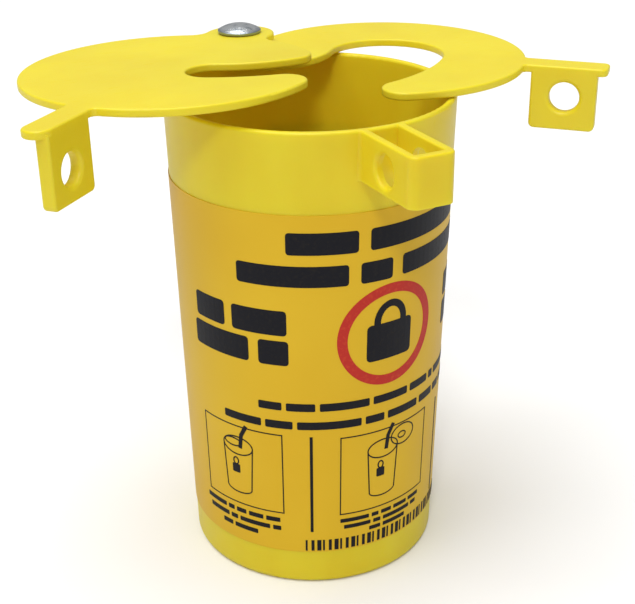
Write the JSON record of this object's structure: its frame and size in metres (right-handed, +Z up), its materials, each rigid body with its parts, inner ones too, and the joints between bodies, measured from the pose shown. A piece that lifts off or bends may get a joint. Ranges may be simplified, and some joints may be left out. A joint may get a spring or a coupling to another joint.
{
  "type": "plug lockout",
  "caption": "Cup-shaped electrical plug lockout: two slotted lids swing on one rivet and their tabs drop into a padlock box on the rim.",
  "frame": {"origin": "centre of the cup's flat underside", "axes": "+Z up along the cup's axis, rivet at +Y, hasp box towards -Y"},
  "size_m": [0.1717, 0.1249, 0.1516],
  "materials": {
    "cup_plastic": "moulded polypropylene, satin",
    "lid_plastic": "moulded polypropylene, satin",
    "rivet_steel": "zinc plated, bright",
    "washer_steel": "zinc plated",
    "label_film": "printed film, satin"
  },
  "bodies": {
    "cup_body": {"cup": "cup_plastic", "rivet": "rivet_steel", "washer": "washer_steel", "label": "label_film"},
    "upper_lid_body": {"upper_lid": "lid_plastic"},
    "lower_lid_body": {"lower_lid": "lid_plastic"}
  },
  "joints": [
    {"name": "upper_lid_swing", "type": "hinge", "parent": "cup_body", "child": "upper_lid_body", "pos_m": [0, 0.0462, 0.147], "axis": [0, 0, 1], "range_deg": [-115, 44.7]},
    {"name": "lower_lid_swing", "type": "hinge", "parent": "cup_body", "child": "lower_lid_body", "pos_m": [0, 0.0462, 0.14405], "axis": [0, 0, 1], "range_deg": [-40, 120]}
  ]
}
